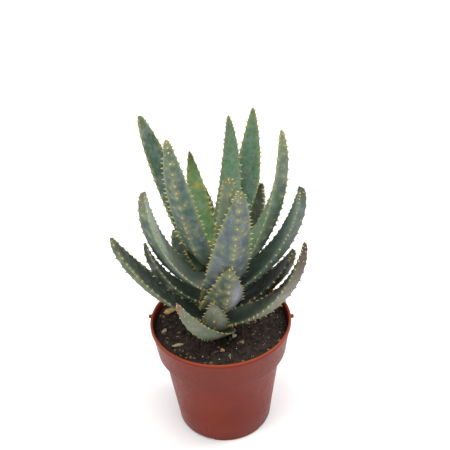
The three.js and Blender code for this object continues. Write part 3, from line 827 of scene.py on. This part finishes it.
def makeSpineBlank():  # a thorn one unit long, with a wide foot and a tip that leans a little
    deselectAll()
    bpy.ops.mesh.primitive_cone_add(vertices=7, radius1=1, radius2=0.02, depth=1.3, location=(0, 0, 0.35))
    blank = nameNew("spineBlank")
    placeInMesh(blank)
    bpy.ops.object.mode_set(mode="EDIT")
    bpy.ops.mesh.select_mode(type="EDGE")
    bpy.ops.mesh.select_all(action="DESELECT")
    shape = bmesh.from_edit_mesh(blank.data)
    for edge in shape.edges:
        edge.select = abs(edge.verts[0].co.z - edge.verts[1].co.z) > 0.5
    bmesh.update_edit_mesh(blank.data)
    bpy.ops.mesh.subdivide(number_cuts=4)
    bpy.ops.object.mode_set(mode="OBJECT")
    points = readPoints(blank)
    height = np.clip(points[:, 2], 0, 1)
    width = np.hypot(points[:, 0], points[:, 1])
    wanted = (1 - height) ** 1.25 * 0.9 + 0.03
    wanted = np.where(points[:, 2] < 0, 1.15, wanted)
    scale = wanted / np.maximum(width, 1e-6)
    points[:, 0] = points[:, 0] * scale + 0.35 * height ** 2
    points[:, 1] *= scale
    writePoints(blank, points)
    writeMask(blank, "spineTip", height)
    smoothPiece(blank, 60)
    return blank


def planSpines(leaf, seed):
    draw = random.Random(seed)
    plan = []
    rows = [("margin", 1, 0.03), ("margin", -1, 0.03), ("keel", 0, 0.14)]
    if leaf["length"] > 0.05:
        rows += [("face", 0.5, 0.3), ("face", -0.5, 0.3)]
    for row, side, start in rows:
        gap = spineShape[row + "Gap"]
        s = start
        while s < spineShape["last"]:
            crowd = 0.5 if s > 0.9 or (row == "margin" and s < 0.14) else 1.0
            size = draw.uniform(0.6, 1.1) * (1 - 0.2 * s) * min(1, leaf["width"] / 0.02)
            size *= leaf.get("spines", 1)
            if row == "face":
                size *= draw.uniform(0.35, 0.75)
                if draw.random() < 0.3:
                    size = 0
            if size:
                plan.append({"row": row, "s": s, "side": side + (draw.uniform(-0.16, 0.16) if row == "face" else 0),
                             "size": size, "lean": draw.uniform(0.1, 0.5)})
            s += gap / leaf["length"] * crowd * draw.uniform(0.6, 1.4)
    plan.append({"row": "tip", "s": spineShape["last"], "side": 0, "size": 0.7, "lean": 0})
    return plan


def roomFor(root, reach):  # the share of a spine's length that stays inside the solid's box
    share = 1.0
    for axis in range(3):
        if abs(reach[axis]) > 1e-6:
            wall = cadBox[1][axis] - boxRoom if reach[axis] > 0 else cadBox[0][axis] + boxRoom
            share = min(share, (wall - root[axis]) / reach[axis])
    return max(share, 0.15)


def shapeLeaf(leaf, blank, spineBlank, seed):
    walk = walkLeaf(leaf)
    name = "".join(word.title() for word in leaf["node"].split("_")[2:])
    piece = ownCopy(blank, "leaf" + leaf["node"].split("_")[1] + name)
    points = readPoints(piece)
    turn = np.arctan2(points[:, 1], points[:, 0])
    s = 1 - (1 - points[:, 2]) ** leafShape["crowding"]
    evenly = 1 - 2 * np.abs(turn) / np.pi
    side = 0.6 * np.cos(turn) + 0.4 * evenly
    lower = turn < 0
    side = np.where(points[:, 2] > 0.9999, 0, side)
    place = leafPoint(leaf, walk, s, side, lower)
    writePoints(piece, place)
    normals = readNormals(piece)

    # each spine stands on a small mound with a ring of its own colour
    plan = planSpines(leaf, seed)
    reach = np.zeros(len(s))
    glow = np.zeros(len(s))
    for spine in plan:
        at, across = np.array([spine["s"]]), np.array([float(spine["side"])])
        spine["root"] = leafPoint(leaf, walk, at, across, np.array([True]))[0]
        away = np.sum((place - spine["root"]) ** 2, 1)
        strength = min(1, spine["size"] + 0.25)
        reach = np.maximum(reach, strength * np.exp(-away / spineShape["moundReach"] ** 2))
        wide = spineShape["glowReach"] * (spineShape["marginGlow"] if spine["row"] == "margin" else 1)
        glow = np.maximum(glow, strength * np.exp(-away / wide ** 2))
    wave = np.array([noise.noise(Vector(p) * 70 + Vector((seed, 0, 0))) for p in place])
    place += normals * (spineShape["mound"] * reach + leafShape["unevenness"] * wave)[:, None]
    writePoints(piece, place)
    half = halfWidth(leaf, s)
    writeMask(piece, "alongLeaf", s)
    writeMask(piece, "underSide", np.where(lower, 1 - np.abs(side) ** 12, 0))
    writeMask(piece, "edgeLine", np.abs(side) ** 8)
    writeMask(piece, "spineRing", glow)
    stainAndPaintedLight = np.zeros(len(s))
    for at, across, lengthwise, sideways, _ in leaf.get("stainsAndPaintedLight", []):
        stainAndPaintedLight = np.maximum(stainAndPaintedLight, np.exp(-((s - at) / lengthwise) ** 2 - ((side - across) / sideways) ** 2))
    writeMask(piece, "stainAndPaintedLight", stainAndPaintedLight)
    ripple = piece.data.attributes.new("leafMap", "FLOAT_VECTOR", "POINT")
    ripple.data.foreach_set("vector", np.stack([side * half, s * leaf["length"], lower * 0.05], 1).astype(
        np.float32).ravel())
    smoothPiece(piece, 80)

    spines = []
    for i, spine in enumerate(plan):
        at = np.array([spine["s"]])
        along, across, upper = (Vector(onLeaf(walk, key, at)[0]) for key in ("along", "across", "upper"))
        if spine["row"] == "margin":
            out = across * spine["side"] - upper * 0.15
        elif spine["row"] == "tip":
            out = along
        else:
            out = -upper + across * spine["side"] * 0.7
        out = (out.normalized() + along * spine["lean"]).normalized()
        sideways = out.cross(along if spine["row"] != "tip" else across).normalized()
        forward = sideways.cross(out).normalized()
        turnTo = Matrix((forward, sideways, out)).transposed().to_4x4()
        long = spineShape["length"] * spine["size"]
        wide = spineShape["width"] * (0.35 + 0.65 * spine["size"])
        root = Vector(spine["root"]) + out * spineShape["mound"] * 0.3
        long *= roomFor(root, out * long)
        thorn = ownCopy(spineBlank, f"{piece.name}Spine{i}")
        thorn.data.transform(Matrix.Translation(root) @ turnTo @ Matrix.Diagonal((wide, wide, long, 1)))
        spines.append(thorn)
    return piece, spines


def buildSkinGroup():
    tree, given, made = newGroup("waxySkin", [
        ("Upper", "NodeSocketColor", (0.2, 0.3, 0.2, 1)),
        ("Lower", "NodeSocketColor", (0.2, 0.3, 0.2, 1)),
        ("Base", "NodeSocketColor", (0.2, 0.2, 0.1, 1)),
        ("Ring", "NodeSocketColor", (0.4, 0.4, 0.1, 1)),
        ("Tip", "NodeSocketColor", (0.2, 0.1, 0.1, 1)),
        ("StainAndPaintedLight", "NodeSocketColor", (0.4, 0.1, 0.1, 1)),
        ("Tip Start", "NodeSocketFloat", 0.85),
    ], [("Colour", "NodeSocketColor"), ("Roughness", "NodeSocketFloat"), ("Height", "NodeSocketFloat")])
    place = placeOf(tree)
    along = maskOf(tree, "alongLeaf")
    broad = grainOf(tree, place, 60.0, 3.0, 0.55, 0.4)
    cloudy = grainOf(tree, place, 170.0, 4.0, 0.6, 0.3)
    fine = grainOf(tree, place, 620.0, 4.0, 0.65)
    lengthwise = put(tree, "ShaderNodeVectorMath", {0: maskOf(tree, "leafMap", "Vector"), 1: (1500, 90, 900)},
                     operation="MULTIPLY").outputs["Vector"]
    streak = grainOf(tree, lengthwise, 1.0, 3.0)
    skin = mixTint(tree, maskOf(tree, "underSide"), given["Upper"], given["Lower"])
    green = mixTint(tree, 1.0, skin, (0.72, 1.08, 0.76, 1), "MULTIPLY")
    bloom = mixTint(tree, 0.3, skin, (0.3, 0.32, 0.4, 1))
    skin = mixTint(tree, rangeOf(tree, broad, 0.3, 0.6, 0.8, 0.0), skin, green)
    skin = mixTint(tree, rangeOf(tree, cloudy, 0.45, 0.7, 0, 0.75), skin, bloom)
    skin = mixTint(tree, rangeOf(tree, streak, 0.4, 0.75, 0, 0.35), skin, bloom)
    shade = mathOf(tree, "MULTIPLY", rangeOf(tree, fine, 0.3, 0.7, 0.8, 1.14),
                   rangeOf(tree, cloudy, 0.3, 0.7, 0.86, 1.1))
    skin = mixTint(tree, 1.0, skin, put(tree, "ShaderNodeCombineColor", {
        "Red": shade, "Green": shade, "Blue": shade}).outputs["Color"], "MULTIPLY")
    skin = mixTint(tree, rangeOf(tree, along, 0.0, 0.2, 0.85, 0.0), skin, given["Base"])
    patch = mathOf(tree, "MULTIPLY", maskOf(tree, "spineRing"), rangeOf(tree, cloudy, 0.3, 0.65, 0.35, 1.0), True)
    skin = mixTint(tree, patch, skin, given["Ring"])
    skin = mixTint(tree, mathOf(tree, "MULTIPLY", maskOf(tree, "edgeLine"), 0.12), skin, given["Ring"])
    tipEnd = put(tree, "ShaderNodeMapRange", {"Value": along, "From Min": given["Tip Start"], "From Max": 1.02,
                                              "To Min": 0.0, "To Max": 1.0}).outputs["Result"]
    skin = mixTint(tree, mathOf(tree, "MULTIPLY", tipEnd, rangeOf(tree, cloudy, 0.3, 0.6, 0.7, 1.1), True), skin,
                   given["Tip"])
    # this mask carries marks on the skin, and on leaf 06 a pale patch of painted light on its lit side
    stainAndPaintedLight = mathOf(tree, "MULTIPLY", maskOf(tree, "stainAndPaintedLight"), rangeOf(tree, fine, 0.3, 0.55, 0.6, 1.0), True)
    skin = mixTint(tree, stainAndPaintedLight, skin, given["StainAndPaintedLight"])
    tree.links.new(skin, made["Colour"])
    tree.links.new(rangeOf(tree, fine, 0.3, 0.7, 0.48, 0.68), made["Roughness"])
    tree.links.new(mathOf(tree, "ADD", mathOf(tree, "MULTIPLY", fine, 0.6), mathOf(tree, "MULTIPLY", streak, 0.4)),
                   made["Height"])
    return tree


def dimmed(code):
    return tuple(skinLight * part for part in tint(code)[:3]) + (1,)


def skinFinish(leaf, group):
    look = looks[leaf["look"]]
    material, tree, shader = newFinish("skin" + leaf["node"].split("_")[1], 0.55, 0.2)
    upper, lower, base = leaf["skin"]
    stainAndPaintedLight = leaf["stainsAndPaintedLight"][0][4] if leaf.get("stainsAndPaintedLight") else look["tip"]
    skin = put(tree, "ShaderNodeGroup", node_tree=group)
    for label, code in (("Upper", upper), ("Lower", lower), ("Base", base), ("Ring", look["ring"]),
                        ("Tip", look["tip"]), ("StainAndPaintedLight", stainAndPaintedLight)):
        skin.inputs[label].default_value = dimmed(code)
    skin.inputs["Tip Start"].default_value = leaf["tipFrom"]
    feed(tree, shader["Base Color"], skin.outputs["Colour"])
    feed(tree, shader["Roughness"], skin.outputs["Roughness"])
    feed(tree, shader["Normal"], bumpOf(tree, skin.outputs["Height"], 0.0003, 0.7))
    return material


def spineFinish(name, root, middle, tip):
    material, tree, shader = newFinish(name, 0.45, 0.4)
    height = maskOf(tree, "spineTip")
    worn = grainOf(tree, placeOf(tree), 700.0)
    base = mixTint(tree, rangeOf(tree, height, 0.0, 0.45), tint(root), tint(middle))
    base = mixTint(tree, rangeOf(tree, height, 0.7, 1.0), base, tint(tip))
    base = mixTint(tree, rangeOf(tree, worn, 0.4, 0.8, 0, 0.35), base, tint("a8905a"))
    feed(tree, shader["Base Color"], base)
    return material


skinGroup = buildSkinGroup()
spinePale = spineFinish("spineCream", "8c8c58", "bfb07c", "9a7048")
leafBlank = makeLeafBlank()
spineBlank = makeSpineBlank()
for seed, leaf in enumerate(leaves):
    body, spines = shapeLeaf(leaf, leafBlank, spineBlank, seed + 41)
    body.data.materials.append(skinFinish(leaf, skinGroup))
    for thorn in spines:
        thorn.data.materials.append(spinePale)
    joinPieces([body, *spines])
    low, high = (np.array(corner) for corner in cadBox)
    writePoints(body, np.clip(readPoints(body), low + clipRoom, high - clipRoom))
    dress(body, looks[leaf["look"]]["slot"], leaf["node"])
dropPiece(leafBlank)
dropPiece(spineBlank)
print("stage: leaves")
